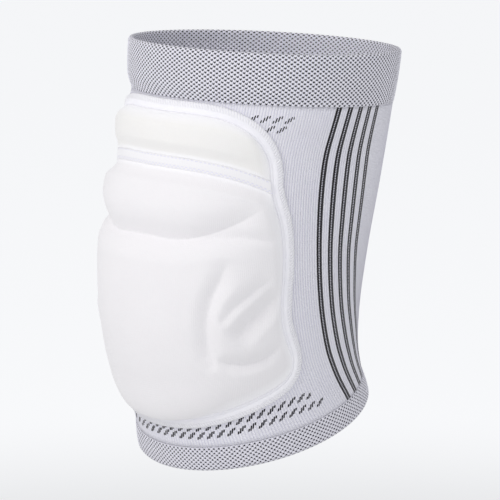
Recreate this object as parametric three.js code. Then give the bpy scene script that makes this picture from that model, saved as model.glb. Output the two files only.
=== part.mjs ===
// A volleyball knee pad in the shape it has when worn: a knitted tubular sleeve with two thick
// patterned cuffs, and a padded front made of a lower foam pad, an upper foam pad, the hem between
// them and a flat sewn border round both.
// Millimetres. +Z runs up the leg, the kneecap faces -Y, and the origin is the middle of the knee.

import * as THREE from "three";

// Sleeve
const SLEEVE_HEIGHT = 186; // bottom rim's centre to top rim's centre
const KNEE_HEIGHT = 66.3; // bottom rim's centre to the middle of the kneecap
const KNEE_RADIUS = 58; // outside of the sleeve beside the kneecap
const SLEEVE_WALL = 1.6;

// Cuffs
const TOP_CUFF_HEIGHT = 25;
const TOP_CUFF_WALL = 2.8;
const BOTTOM_CUFF_HEIGHT = 11.5;
const BOTTOM_CUFF_WALL = 2.4;
const CUFF_RISE = 0.5; // how far a cuff stands out from the sleeve
const CUFF_CROWN = 0.5; // extra roundness in the middle of a cuff

// Padded front
const PAD_HALF_WIDTH = 77; // round the knee, from the front to the border's outer edge
const PAD_TO_TOP_CUFF = 0.8;
const PAD_TO_BOTTOM_CUFF = 9;
const BORDER_WIDTH = 5.6;
const BORDER_THICKNESS = 1.4;
const LOWER_PAD_THICKNESS = 14.6;
const UPPER_PAD_THICKNESS = 7.2;
const PAD_EDGE = 1.8; // thickness of both pads where they meet the border
const UPPER_PANEL_HEIGHT = 26; // border's top edge to the hem's top edge, at the front
const HEM_HEIGHT = 4.6;
const HEM_THICKNESS = 4.8;
const HEM_DROP = 10; // how far the hem runs down towards the border

// Small distances between pieces
const SEAT_GAP = 0.4; // padded pieces over the sleeve
const SIDE_GAP = 0.3; // piece beside piece

// Mesh fineness
const RING_STEPS = 60;
const BODY_ROWS = 9;
const LOWER_PAD_GRID = { across: 38, below: 23, above: 7 };
const UPPER_PAD_GRID = { across: 28, up: 8 };
const CROWDING = 0.35; // how much closer a pad's columns stand at its sides than at the front
const HEM_STEPS = 24;
const OUTLINE_STEPS = 96;

const COLOURS = {
  knit: 0xdedde6,
  cuff: 0xb4b3be,
  lowerPad: 0xf2f1f3,
  upperPad: 0xf4f2ee,
  border: 0xe9e8ef,
};

// The worn shape, from the bottom rim to the top rim.
// up: share of SLEEVE_HEIGHT. radius: half the width, as a share of KNEE_RADIUS.
// depth: front-to-back over side-to-side. back: how far the centre lies behind the origin, as a
// share of KNEE_RADIUS. tilt: degrees by which the section drops from front to back.
const LEG_SECTIONS = [
  { up: 0.0, radius: 0.968, depth: 1.025, back: 0.128, tilt: -16 },
  { up: 0.06, radius: 0.974, depth: 1.012, back: 0.078, tilt: -16 },
  { up: 0.15, radius: 0.982, depth: 1.006, back: 0.012, tilt: -14.5 },
  { up: 0.25, radius: 0.983, depth: 1.018, back: -0.003, tilt: -9.8 },
  { up: 0.35, radius: 0.997, depth: 1.022, back: 0.0, tilt: -3.9 },
  { up: 0.5, radius: 1.033, depth: 1.008, back: 0.04, tilt: 3.1 },
  { up: 0.65, radius: 1.071, depth: 0.998, back: 0.112, tilt: 4.1 },
  { up: 0.8, radius: 1.105, depth: 0.992, back: 0.191, tilt: 4.1 },
  { up: 1.0, radius: 1.144, depth: 0.994, back: 0.278, tilt: 4.1 },
];

// Half of the border's outer edge, from the bottom middle round the side to the top middle.
// across: share of PAD_HALF_WIDTH. up: share of the padded front's height.
const PAD_OUTLINE = [
  { across: 0.0, up: 0.01 },
  { across: 0.25, up: 0.012 },
  { across: 0.42, up: 0.019 },
  { across: 0.58, up: 0.031 },
  { across: 0.71, up: 0.045 },
  { across: 0.82, up: 0.06 },
  { across: 0.915, up: 0.082 },
  { across: 0.98, up: 0.117 },
  { across: 1.003, up: 0.158 },
  { across: 0.997, up: 0.2 },
  { across: 0.967, up: 0.25 },
  { across: 0.938, up: 0.3 },
  { across: 0.925, up: 0.365 },
  { across: 0.922, up: 0.44 },
  { across: 0.912, up: 0.51 },
  { across: 0.893, up: 0.568 },
  { across: 0.862, up: 0.63 },
  { across: 0.822, up: 0.685 },
  { across: 0.79, up: 0.735 },
  { across: 0.776, up: 0.785 },
  { across: 0.752, up: 0.835 },
  { across: 0.705, up: 0.885 },
  { across: 0.643, up: 0.926 },
  { across: 0.57, up: 0.957 },
  { across: 0.47, up: 0.982 },
  { across: 0.35, up: 0.996 },
  { across: 0.0, up: 1.0 },
];
// Shares of that edge's whole length at which the pads' grids turn their corners.
const BOTTOM_CORNER = 0.17;
const TOP_CORNER = 0.395;

// How the pads swell from bottom to top, along the front.
// up: share of the padded front's height. swell: share of the pad's own thickness.
const LOWER_SWELL = [
  { up: 0.0, swell: 0.33 },
  { up: 0.06, swell: 0.56 },
  { up: 0.12, swell: 0.7 },
  { up: 0.2, swell: 0.86 },
  { up: 0.3, swell: 0.965 },
  { up: 0.4, swell: 1.0 },
  { up: 0.5, swell: 0.965 },
  { up: 0.56, swell: 0.9 },
  { up: 0.61, swell: 0.905 },
  { up: 0.66, swell: 0.877 },
  { up: 0.71, swell: 0.745 },
  { up: 0.76, swell: 0.504 },
  { up: 0.83, swell: 0.33 },
];
const UPPER_SWELL = [
  { up: 0.72, swell: 0.6 },
  { up: 0.8, swell: 0.72 },
  { up: 0.84, swell: 0.92 },
  { up: 0.88, swell: 1.0 },
  { up: 0.93, swell: 0.92 },
  { up: 1.0, swell: 0.5 },
];

// The groove under the roll, on both sides of the front.
// across: share of PAD_HALF_WIDTH. up: share of the padded front's height. deep: share of
// VALLEY_DEPTH.
const ROLL_VALLEY = [
  { across: 0.0, up: 0.56, deep: 1.0 },
  { across: 0.1, up: 0.557, deep: 1.0 },
  { across: 0.21, up: 0.553, deep: 1.0 },
  { across: 0.34, up: 0.559, deep: 1.0 },
  { across: 0.46, up: 0.579, deep: 0.9 },
  { across: 0.53, up: 0.599, deep: 0.72 },
  { across: 0.6, up: 0.625, deep: 0.45 },
  { across: 0.667, up: 0.658, deep: 0.14 },
  { across: 0.74, up: 0.69, deep: 0.0 },
  { across: 1.0, up: 0.76, deep: 0.0 },
];
// The upper edge of the kneecap's dome below that groove, with the same two shares.
const DOME_EDGE = [
  { across: 0.0, up: 0.54 },
  { across: 0.12, up: 0.533 },
  { across: 0.26, up: 0.532 },
  { across: 0.38, up: 0.54 },
  { across: 0.49, up: 0.551 },
  { across: 0.59, up: 0.553 },
  { across: 0.69, up: 0.549 },
  { across: 0.77, up: 0.544 },
  { across: 1.0, up: 0.53 },
];
const VALLEY_DEPTH = 5.4;
const VALLEY_ABOVE = 18; // how far up the roll begins to curve down into the groove
const VALLEY_BELOW = 7; // how far below its edge the dome has come out of the groove
const VALLEY_SHELF = 0.5; // share of the depth that is left at the dome's edge

// Moulded channels of the lower pad, on both sides of the front.
// depth: where it is deepest. left and right: how far the walls reach on the two sides of the path.
// roundness: 1 for a crisp bottom, 2 for a round one.
// path: across and up as above, and deep, the share of the depth at that point.
const CHANNELS = [
  {
    name: "dome's edge",
    depth: 1.6,
    left: 3.6,
    right: 6.0,
    roundness: 1.2,
    path: [
      { across: 0.82, up: 0.556, deep: 0.0 },
      { across: 0.74, up: 0.558, deep: 0.6 },
      { across: 0.66, up: 0.563, deep: 0.9 },
      { across: 0.57, up: 0.566, deep: 1.0 },
      { across: 0.48, up: 0.562, deep: 0.8 },
      { across: 0.41, up: 0.556, deep: 0.4 },
      { across: 0.33, up: 0.55, deep: 0.0 },
    ],
  },
  {
    name: "kneecap side",
    depth: 3.2,
    left: 8.0,
    right: 6.5,
    roundness: 1.2,
    path: [
      { across: 0.54, up: 0.505, deep: 0.0 },
      { across: 0.52, up: 0.476, deep: 0.35 },
      { across: 0.493, up: 0.434, deep: 0.8 },
      { across: 0.46, up: 0.394, deep: 1.0 },
      { across: 0.44, up: 0.354, deep: 1.0 },
      { across: 0.433, up: 0.314, deep: 1.0 },
      { across: 0.435, up: 0.273, deep: 1.0 },
      { across: 0.445, up: 0.239, deep: 0.8 },
      { across: 0.463, up: 0.215, deep: 0.45 },
      { across: 0.485, up: 0.195, deep: 0.0 },
    ],
  },
  {
    name: "upper vein",
    depth: 2.3,
    left: 8.0,
    right: 7.0,
    roundness: 1.15,
    path: [
      { across: 0.775, up: 0.445, deep: 0.0 },
      { across: 0.742, up: 0.43, deep: 0.4 },
      { across: 0.68, up: 0.406, deep: 0.85 },
      { across: 0.619, up: 0.381, deep: 1.0 },
      { across: 0.571, up: 0.361, deep: 1.0 },
      { across: 0.523, up: 0.331, deep: 0.7 },
      { across: 0.505, up: 0.317, deep: 0.0 },
    ],
  },
  {
    name: "middle vein",
    depth: 5.0,
    left: 9.0,
    right: 8.0,
    roundness: 1.5,
    path: [
      { across: 0.585, up: 0.267, deep: 0.0 },
      { across: 0.617, up: 0.289, deep: 0.7 },
      { across: 0.657, up: 0.311, deep: 1.0 },
      { across: 0.707, up: 0.334, deep: 1.0 },
      { across: 0.758, up: 0.357, deep: 0.85 },
      { across: 0.805, up: 0.38, deep: 0.5 },
      { across: 0.845, up: 0.4, deep: 0.0 },
    ],
  },
  {
    name: "lower vein",
    depth: 3.0,
    left: 5.0,
    right: 5.5,
    roundness: 1.15,
    path: [
      { across: 0.86, up: 0.24, deep: 0.0 },
      { across: 0.825, up: 0.224, deep: 0.4 },
      { across: 0.763, up: 0.206, deep: 0.8 },
      { across: 0.69, up: 0.199, deep: 1.0 },
      { across: 0.622, up: 0.2, deep: 1.0 },
      { across: 0.557, up: 0.208, deep: 0.85 },
      { across: 0.51, up: 0.22, deep: 0.45 },
      { across: 0.47, up: 0.236, deep: 0.0 },
    ],
  },
];
// The side veins stand a little proud: their middle and reach, as shares, and their height.
const LOBES = { across: 0.56, up: 0.335, wide: 0.15, tall: 0.11 };
const LOBE_HEIGHT = 1.4;

const PAD_BOTTOM = BOTTOM_CUFF_HEIGHT + PAD_TO_BOTTOM_CUFF;
const PAD_TOP = SLEEVE_HEIGHT - TOP_CUFF_HEIGHT - PAD_TO_TOP_CUFF;
const PAD_HEIGHT = PAD_TOP - PAD_BOTTOM;
const SIDE_FALL_POWER = 2.4; // how squarely a pad's thickness falls towards its sides
const ROUND_OVER = 7; // distance over which a pad rounds down to its edge

// A smooth curve through a table's rows, as cubic pieces with the slopes of the neighbours.
function tableValue(rows, key, column, at) {
  const last = rows.length - 1;
  if (at <= rows[0][key]) return rows[0][column];
  if (at >= rows[last][key]) return rows[last][column];
  const i = rows.findIndex((row) => row[key] > at) - 1;
  const slope = (j) => {
    const before = rows[Math.max(j - 1, 0)];
    const after = rows[Math.min(j + 1, last)];
    return (after[column] - before[column]) / (after[key] - before[key]);
  };
  const step = rows[i + 1][key] - rows[i][key];
  const t = (at - rows[i][key]) / step;
  const t2 = t * t;
  const t3 = t2 * t;
  return (
    (2 * t3 - 3 * t2 + 1) * rows[i][column] +
    (t3 - 2 * t2 + t) * step * slope(i) +
    (3 * t2 - 2 * t3) * rows[i + 1][column] +
    (t3 - t2) * step * slope(i + 1)
  );
}

// The point at a height up the sleeve and an angle from the front, both measured on the sleeve,
// and so far out from its outer face.
function legPoint(height, angle, out) {
  const share = height / SLEEVE_HEIGHT;
  const at = (column) => tableValue(LEG_SECTIONS, "up", column, share);
  const half = at("radius") * KNEE_RADIUS;
  const tilt = THREE.MathUtils.degToRad(at("tilt"));
  const backward = -Math.cos(angle) * (half * at("depth") + out);
  return new THREE.Vector3(
    Math.sin(angle) * (half + out),
    at("back") * KNEE_RADIUS + backward * Math.cos(tilt),
    height - KNEE_HEIGHT - backward * Math.sin(tilt),
  );
}

// The point of the padded front that lies across the knee by an arc and up from its bottom edge.
function padPoint(across, up, out) {
  return legPoint(PAD_BOTTOM + up, across / KNEE_RADIUS, out);
}

function meshFrom(name, positions, index, colour, roughness) {
  const geometry = new THREE.BufferGeometry();
  geometry.setAttribute(
    "position",
    new THREE.Float32BufferAttribute(positions, 3),
  );
  geometry.setIndex(index);
  geometry.computeVertexNormals();
  const material = new THREE.MeshStandardMaterial({ color: colour, roughness });
  const mesh = new THREE.Mesh(geometry, material);
  mesh.name = name;
  return mesh;
}

// A closed ring: the rows are its sections, each a closed loop of points in the same order.
function ringMesh(name, sections, colour, roughness) {
  const around = sections.length;
  const loop = sections[0].length;
  const positions = sections.flat().flatMap((p) => p.toArray());
  const index = [];
  for (let i = 0; i < around; i++) {
    const next = (i + 1) % around;
    for (let j = 0; j < loop; j++) {
      const k = (j + 1) % loop;
      const [a, b] = [i * loop + j, next * loop + j];
      const [c, d] = [next * loop + k, i * loop + k];
      index.push(a, b, c, a, c, d);
    }
  }
  return meshFrom(name, positions, index, colour, roughness);
}

// A closed plate: a grid of points on its outer face and the same grid on its inner face.
function plateMesh(name, outer, inner, colour, roughness) {
  const rows = outer.length;
  const columns = outer[0].length;
  const positions = [...outer.flat(), ...inner.flat()].flatMap((p) =>
    p.toArray(),
  );
  const at = (i, j) => i * columns + j;
  const under = rows * columns;
  const index = [];
  for (let i = 0; i + 1 < rows; i++) {
    for (let j = 0; j + 1 < columns; j++) {
      const [a, b] = [at(i, j), at(i, j + 1)];
      const [c, d] = [at(i + 1, j + 1), at(i + 1, j)];
      index.push(a, b, c, a, c, d);
      index.push(a + under, c + under, b + under, a + under, d + under, c + under);
    }
  }
  const rim = [];
  for (let j = 0; j < columns - 1; j++) rim.push(at(0, j));
  for (let i = 0; i < rows - 1; i++) rim.push(at(i, columns - 1));
  for (let j = columns - 1; j > 0; j--) rim.push(at(rows - 1, j));
  for (let i = rows - 1; i > 0; i--) rim.push(at(i, 0));
  rim.forEach((a, i) => {
    const b = rim[(i + 1) % rim.length];
    index.push(a, a + under, b + under, a, b + under, b);
  });
  return meshFrom(name, positions, index, colour, roughness);
}

// A tube round the leg with this closed profile, whose points are heights on the sleeve and
// distances out from its outer face.
function legTube(name, profile, colour) {
  const sections = [];
  for (let i = 0; i < RING_STEPS; i++) {
    const angle = (i / RING_STEPS) * 2 * Math.PI;
    sections.push(profile.map((p) => legPoint(p.height, angle, p.out)));
  }
  return ringMesh(name, sections, colour, 0.95);
}

function sleeveBody() {
  const low = BOTTOM_CUFF_HEIGHT + SIDE_GAP;
  const high = SLEEVE_HEIGHT - TOP_CUFF_HEIGHT - SIDE_GAP;
  const side = (out) =>
    Array.from({ length: BODY_ROWS + 1 }, (_, i) => ({
      height: low + ((high - low) * i) / BODY_ROWS,
      out,
    }));
  const profile = [...side(0), ...side(-SLEEVE_WALL).reverse()];
  return legTube("sleeve_body", profile, COLOURS.knit);
}

// A cuff from the sleeve's end to its own rim, with a rounded rim and a slightly crowned face.
function cuff(name, seamHeight, rimHeight, wall) {
  const face = CUFF_RISE;
  const lining = CUFF_RISE - wall;
  const point = (share, out) => ({
    height: seamHeight + (rimHeight - seamHeight) * share,
    out,
  });
  const bend = wall / 2 / Math.abs(rimHeight - seamHeight);
  const profile = [
    point(0, face),
    point(0.3, face + CUFF_CROWN * 0.8),
    point(0.6, face + CUFF_CROWN),
    point(1 - bend, face),
    point(1 - bend * 0.3, face - wall * 0.16),
    point(1, face - wall * 0.5),
    point(1 - bend * 0.3, lining + wall * 0.16),
    point(1 - bend, lining),
    point(0.5, lining),
    point(0, lining),
  ];
  if (rimHeight < seamHeight) profile.reverse();
  return legTube(name, profile, COLOURS.cuff);
}

// The border's outer edge, across and up, anticlockwise from the bottom middle.
function borderLine() {
  const half = PAD_OUTLINE.map(
    (row) => new THREE.Vector3(row.across * PAD_HALF_WIDTH, row.up * PAD_HEIGHT, 0),
  );
  const back = half.slice(1, -1).reverse();
  const left = back.map((p) => new THREE.Vector3(-p.x, p.y, 0));
  const curve = new THREE.CatmullRomCurve3([...half, ...left], true, "centripetal");
  curve.arcLengthDivisions = 800;
  return curve;
}
const BORDER_LINE = borderLine();

// The point so far inside the border's outer edge, at a share of that edge's length.
function insidePoint(share, inset) {
  const at = ((share % 1) + 1) % 1;
  const along = BORDER_LINE.getTangentAt(at);
  const p = BORDER_LINE.getPointAt(at);
  return new THREE.Vector3(p.x - along.y * inset, p.y + along.x * inset, 0);
}

// Even points along the inside of the border between two shares of its length.
function insideLine(from, to, steps, inset) {
  return Array.from({ length: steps + 1 }, (_, i) =>
    insidePoint(from + ((to - from) * i) / steps, inset),
  );
}

// Shares from 0 to 1 that stand closer together at both ends.
function crowded(steps) {
  return Array.from({ length: steps + 1 }, (_, i) => {
    const t = (2 * i) / steps - 1;
    return (t * (1 + CROWDING * (1 - t * t)) + 1) / 2;
  });
}

function border() {
  const low = SEAT_GAP;
  const high = SEAT_GAP + BORDER_THICKNESS;
  const outer = insideLine(0, 1, OUTLINE_STEPS, 0).slice(0, -1);
  const inner = insideLine(0, 1, OUTLINE_STEPS, BORDER_WIDTH).slice(0, -1);
  const sections = outer.map((o, i) => [
    padPoint(o.x, o.y, low),
    padPoint(o.x, o.y, high),
    padPoint(inner[i].x, inner[i].y, high),
    padPoint(inner[i].x, inner[i].y, low),
  ]);
  return ringMesh("pad_border", sections, COLOURS.border, 0.9);
}

// How far up the hem's top edge lies at a distance across.
function hemTop(across) {
  const reach = PAD_HALF_WIDTH * 0.75;
  return (
    PAD_HEIGHT - UPPER_PANEL_HEIGHT - HEM_DROP * Math.pow(Math.abs(across) / reach, 3)
  );
}

// The share of the border's length at which a line inside it meets a line across the pads.
function crossing(inset, line) {
  let low = BOTTOM_CORNER;
  let high = 0.5;
  for (let i = 0; i < 40; i++) {
    const middle = (low + high) / 2;
    const p = insidePoint(middle, inset);
    if (p.y < line(p.x)) low = middle;
    else high = middle;
  }
  return low;
}

// A grid of points across and up that fills four edges.
function fill(bottom, top, left, right) {
  const columns = bottom.length - 1;
  const rows = left.length - 1;
  const shares = crowded(columns);
  const grid = [];
  for (let i = 0; i <= rows; i++) {
    const v = i / rows;
    const row = [];
    for (let j = 0; j <= columns; j++) {
      const u = shares[j];
      const blend = (key) =>
        (1 - v) * bottom[j][key] +
        v * top[j][key] +
        (1 - u) * left[i][key] +
        u * right[i][key] -
        (1 - u) * (1 - v) * bottom[0][key] -
        u * (1 - v) * bottom[columns][key] -
        (1 - u) * v * top[0][key] -
        u * v * top[columns][key];
      row.push({ across: blend("x"), up: blend("y") });
    }
    grid.push(row);
  }
  return grid;
}

// A line across both sides of the front, at a height that is a function of the distance across.
function lineAcross(end, steps, height) {
  return crowded(steps).map((share) => {
    const x = end * (2 * share - 1);
    return new THREE.Vector3(x, height(x), 0);
  });
}

const mirrorLine = (line) => line.map((p) => new THREE.Vector3(-p.x, p.y, 0));

function rollValley(across) {
  return PAD_HEIGHT * tableValue(ROLL_VALLEY, "across", "up", Math.abs(across) / PAD_HALF_WIDTH);
}

// The line inside the border from one corner to the other, round the share between them.
function edgeAcross(between, corner, steps, inset) {
  return crowded(steps).map((t) =>
    insidePoint(between + (corner - between) * (2 * t - 1), inset),
  );
}

// The lower pad's grid, with one of its rows along the valley under the roll.
function lowerPadGrid() {
  const inset = BORDER_WIDTH + SIDE_GAP;
  const topLine = (x) => hemTop(x) - HEM_HEIGHT - SIDE_GAP;
  const { across: columns, below, above } = LOWER_PAD_GRID;
  const middleCut = crossing(inset, rollValley);
  const topCut = crossing(inset, topLine);
  const bottom = edgeAcross(0, BOTTOM_CORNER, columns, inset);
  const middle = lineAcross(insidePoint(middleCut, inset).x, columns, rollValley);
  const top = lineAcross(insidePoint(topCut, inset).x, columns, topLine);
  const lowSide = insideLine(BOTTOM_CORNER, middleCut, below, inset);
  const highSide = insideLine(middleCut, topCut, above, inset);
  const low = fill(bottom, middle, mirrorLine(lowSide), lowSide);
  const high = fill(middle, top, mirrorLine(highSide), highSide);
  return [...low, ...high.slice(1)];
}

function upperPadGrid() {
  const inset = BORDER_WIDTH + SIDE_GAP;
  const bottomLine = (x) => hemTop(x) + SIDE_GAP;
  const cut = crossing(inset, bottomLine);
  const { across: columns, up: rows } = UPPER_PAD_GRID;
  const right = insideLine(cut, TOP_CORNER, rows, inset);
  const top = edgeAcross(0.5, TOP_CORNER, columns, inset);
  const bottom = lineAcross(insidePoint(cut, inset).x, columns, bottomLine);
  return fill(bottom, top, mirrorLine(right), right);
}

// Distance from a point to a broken line, whether it is on the line's left, and the share of the
// depth at the nearest point.
function toPath(across, up, path) {
  let best = { distance: Infinity, left: true, deep: 0 };
  for (let i = 0; i + 1 < path.length; i++) {
    const [start, end] = [path[i], path[i + 1]];
    const a = new THREE.Vector2(start.across * PAD_HALF_WIDTH, start.up * PAD_HEIGHT);
    const b = new THREE.Vector2(end.across * PAD_HALF_WIDTH, end.up * PAD_HEIGHT);
    const along = b.sub(a);
    const from = new THREE.Vector2(across, up).sub(a);
    const left = along.cross(from) > 0;
    const t = THREE.MathUtils.clamp(from.dot(along) / along.lengthSq(), 0, 1);
    const distance = from.sub(along.multiplyScalar(t)).length();
    if (distance < best.distance) {
      best = { distance, left, deep: start.deep * (1 - t) + end.deep * t };
    }
  }
  return best;
}

function grooveDepth(channel, across, up) {
  const { distance, left, deep } = toPath(Math.abs(across), up, channel.path);
  const share = Math.min(distance / (left ? channel.left : channel.right), 1);
  return channel.depth * deep * (1 - share ** channel.roundness) ** 2;
}

// How deep the groove under the roll is: the roll curves down into it, and the top of the dome
// comes out of it slowly.
function valleyDepth(across, up) {
  const share = Math.abs(across) / PAD_HALF_WIDTH;
  const at = (rows, column) => tableValue(rows, "across", column, share);
  const groove = PAD_HEIGHT * at(ROLL_VALLEY, "up");
  const dome = PAD_HEIGHT * at(DOME_EDGE, "up");
  const deep = VALLEY_DEPTH * Math.max(at(ROLL_VALLEY, "deep"), 0);
  if (up > groove) return deep * Math.max(1 - (up - groove) / VALLEY_ABOVE, 0) ** 2.6;
  const shelf = Math.min((groove - up) / (groove - dome), 1);
  const below = Math.max(dome - up, 0) / VALLEY_BELOW;
  return deep * (1 - (1 - VALLEY_SHELF) * shelf ** 0.8) * Math.max(1 - below, 0) ** 1.7;
}

// The depth of all the channels together, which run into each other softly.
function channelDepth(across, up) {
  const grooves = CHANNELS.map((channel) => grooveDepth(channel, across, up));
  const depths = [valleyDepth(across, up), ...grooves];
  return Math.cbrt(depths.reduce((sum, depth) => sum + depth ** 3, 0));
}

function lobeHeight(across, up) {
  const x = (Math.abs(across) / PAD_HALF_WIDTH - LOBES.across) / LOBES.wide;
  const z = (up / PAD_HEIGHT - LOBES.up) / LOBES.tall;
  return LOBE_HEIGHT * Math.exp(-x * x - z * z);
}

// 0 at a pad's edge and 1 from ROUND_OVER inwards, along a quarter circle.
function roundOver(distance) {
  const t = Math.min(distance / ROUND_OVER, 1);
  return Math.sqrt(1 - (1 - t) * (1 - t));
}

// A pad over the sleeve, rounded down to PAD_EDGE at the border and to the hem's own thickness
// along the row that meets the hem.
function padSolid(name, grid, hemRow, thicknessAt, colour) {
  const columns = grid[0].length - 1;
  const borderRow = grid.length - 1 - hemRow;
  const gap = (p, q) => Math.hypot(p.across - q.across, p.up - q.up);
  const outer = grid.map((row) =>
    row.map((p, j) => {
      const toSide = Math.min(gap(p, row[0]), gap(p, row[columns]));
      const toBorder = roundOver(toSide) * roundOver(gap(p, grid[borderRow][j]));
      const full = PAD_EDGE + Math.max(thicknessAt(p) - PAD_EDGE, 0) * toBorder;
      const low = Math.min(full, hemThickness(p.across));
      const thick = low + (full - low) * roundOver(gap(p, grid[hemRow][j]));
      return padPoint(p.across, p.up, SEAT_GAP + thick);
    }),
  );
  const inner = grid.map((row) => row.map((p) => padPoint(p.across, p.up, SEAT_GAP)));
  return plateMesh(name, outer, inner, colour, 0.9);
}

function sideFall(across) {
  return 1 - Math.pow(Math.min(Math.abs(across) / PAD_HALF_WIDTH, 1), SIDE_FALL_POWER);
}

function hemThickness(across) {
  return Math.max(HEM_THICKNESS * sideFall(across), PAD_EDGE);
}

function lowerPad() {
  const thicknessAt = (p) => {
    const swell = tableValue(LOWER_SWELL, "up", "swell", p.up / PAD_HEIGHT);
    const full = LOWER_PAD_THICKNESS * swell * sideFall(p.across);
    return full + lobeHeight(p.across, p.up) - channelDepth(p.across, p.up);
  };
  const grid = lowerPadGrid();
  return padSolid("lower_pad", grid, grid.length - 1, thicknessAt, COLOURS.lowerPad);
}

function upperPad() {
  const thicknessAt = (p) => {
    const swell = tableValue(UPPER_SWELL, "up", "swell", p.up / PAD_HEIGHT);
    return UPPER_PAD_THICKNESS * swell * sideFall(p.across);
  };
  return padSolid("upper_pad", upperPadGrid(), 0, thicknessAt, COLOURS.upperPad);
}

// The strip of doubled cloth between the two pads, with a rounded face.
function hem() {
  const inset = BORDER_WIDTH + SIDE_GAP;
  const shares = [0, 0.25, 0.5, 0.75, 1];
  const faces = [0.82, 0.97, 1, 0.97, 0.82];
  const grid = shares.map((share) => {
    const line = (x) => hemTop(x) - HEM_HEIGHT * (1 - share);
    const end = insidePoint(crossing(inset, line), inset).x;
    return lineAcross(end, HEM_STEPS, line);
  });
  const outer = grid.map((row, i) =>
    row.map((p) => padPoint(p.x, p.y, SEAT_GAP + hemThickness(p.x) * faces[i])),
  );
  const inner = grid.map((row) => row.map((p) => padPoint(p.x, p.y, SEAT_GAP)));
  return plateMesh("panel_hem", outer, inner, COLOURS.border, 0.9);
}

const kneePad = new THREE.Group();
kneePad.add(
  sleeveBody(),
  cuff("top_cuff", SLEEVE_HEIGHT - TOP_CUFF_HEIGHT, SLEEVE_HEIGHT, TOP_CUFF_WALL),
  cuff("bottom_cuff", BOTTOM_CUFF_HEIGHT, 0, BOTTOM_CUFF_WALL),
  lowerPad(),
  upperPad(),
  hem(),
  border(),
);

export default kneePad;
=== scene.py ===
import math

import bpy
import numpy as np
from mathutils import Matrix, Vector


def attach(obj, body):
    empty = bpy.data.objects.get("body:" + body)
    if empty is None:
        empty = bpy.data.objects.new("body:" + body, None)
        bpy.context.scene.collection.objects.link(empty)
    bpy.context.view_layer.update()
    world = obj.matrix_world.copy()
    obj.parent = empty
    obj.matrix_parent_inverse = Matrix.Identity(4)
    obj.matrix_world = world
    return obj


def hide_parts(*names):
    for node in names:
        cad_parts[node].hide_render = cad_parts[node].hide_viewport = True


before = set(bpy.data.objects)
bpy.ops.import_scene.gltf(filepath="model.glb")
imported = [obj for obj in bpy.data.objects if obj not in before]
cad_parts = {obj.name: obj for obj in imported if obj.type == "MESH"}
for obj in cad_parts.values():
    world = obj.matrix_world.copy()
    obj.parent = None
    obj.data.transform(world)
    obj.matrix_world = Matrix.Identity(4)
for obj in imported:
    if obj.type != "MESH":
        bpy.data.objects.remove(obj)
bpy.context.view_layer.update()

MM = 0.001

# The worn shape in millimetres, close to that of the solids
SLEEVE_HEIGHT = 186.0
KNEE_HEIGHT = 66.3
KNEE_RADIUS = 58.0
SLEEVE_WALL = 1.6
TOP_CUFF_HEIGHT = 25.0
TOP_CUFF_WALL = 2.8
BOTTOM_CUFF_HEIGHT = 11.5
BOTTOM_CUFF_WALL = 2.4
CUFF_RISE = 0.25
CUFF_CROWN = 0.5
PAD_HALF_WIDTH = 77.0
PAD_BOTTOM = BOTTOM_CUFF_HEIGHT + 9.0
PAD_TOP = SLEEVE_HEIGHT - TOP_CUFF_HEIGHT - 0.8
PAD_HEIGHT = PAD_TOP - PAD_BOTTOM
BORDER_WIDTH = 5.6
BORDER_THICKNESS = 1.4
LOWER_PAD_THICKNESS = 14.6
UPPER_PAD_THICKNESS = 7.2
PAD_EDGE = 1.25
UPPER_PANEL_HEIGHT = 26.0
HEM_HEIGHT = 5.5
HEM_THICKNESS = 4.8
HEM_DROP = 10.0
HEM_STITCH = 1.9  # from one sewing stitch of the hem to the next
HEM_DENTS = (0.16, 0.86)  # shares of its height at which two rows of them sink in
ROPE_PITCH = 1.4  # from one overlock thread of the border to the next, along it
ROPE_SLANT = 2.4  # and across it
ROPE_WIDTH = 3.3  # how far in from the border's outer edge they reach
ROPE_LIFT = 0.11  # and how far they stand out
SEAT_GAP = 0.4
SEAM = 0.01  # sewn pieces of the front meet this closely
ROUND_OVER = 7.0  # distance over which a pad rounds down to the border
BOTTOM_ROUND = 13.0  # and at the bottom of the dome
SIDE_FALL_POWER = 2.4
VALLEY_DEPTH = 5.4
VALLEY_SHELF = 0.5  # how much of that depth is left at the edge of the dome
VALLEY_ABOVE = 18.0  # reach of the groove above its bottom
VALLEY_BELOW = 7.0  # and below the edge of the dome
ROLL_SIDE_POWER = 2.6  # how soon the groove gets shallow towards the roll
DOME_SIDE_POWER = 1.7  # towards the middle of the dome
SHELF_POWER = 0.8  # and from its bottom to the edge of the dome
OVERHANG = 5.0  # how far the foam bulges down over the border, at the front
OVERHANG_RISE = 18.0  # height above the pad's bottom edge at which it ends
OVERHANG_REACH = 41.0  # and distance to the side
WAIST = 2.2  # how far the knit draws in under the top cuff, at the front
WAIST_REACH = 4.5  # and over what height
BOTTOM_CORNER = 0.17  # share of the border's length up to a corner of the lower pad
TOP_CORNER = 0.395  # and up to a corner of the upper pad

# Knit
HALF_WALES = 142  # columns of stitches from the front middle to the back middle
CUFF_COURSE = 1.03  # height of one row of stitches in the cuffs
BODY_COURSE = 0.8  # and in the sleeve
PER_WALE = 3  # points of the mesh in each
ROWS_PER_COURSE = 2.4  # rows of the mesh in each row of stitches of a cuff
OUTSIDE_SHARE = 0.62  # share of a tube's rows whose stitches stand outwards
RIB_RELIEF = 0.13  # how far the ribs of the sleeve stand out
LIGHT_RELIEF = 0.17  # and the light stitches of the cuffs
DARK_RELIEF = 0.05  # how far their dark stitches lie back

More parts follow.
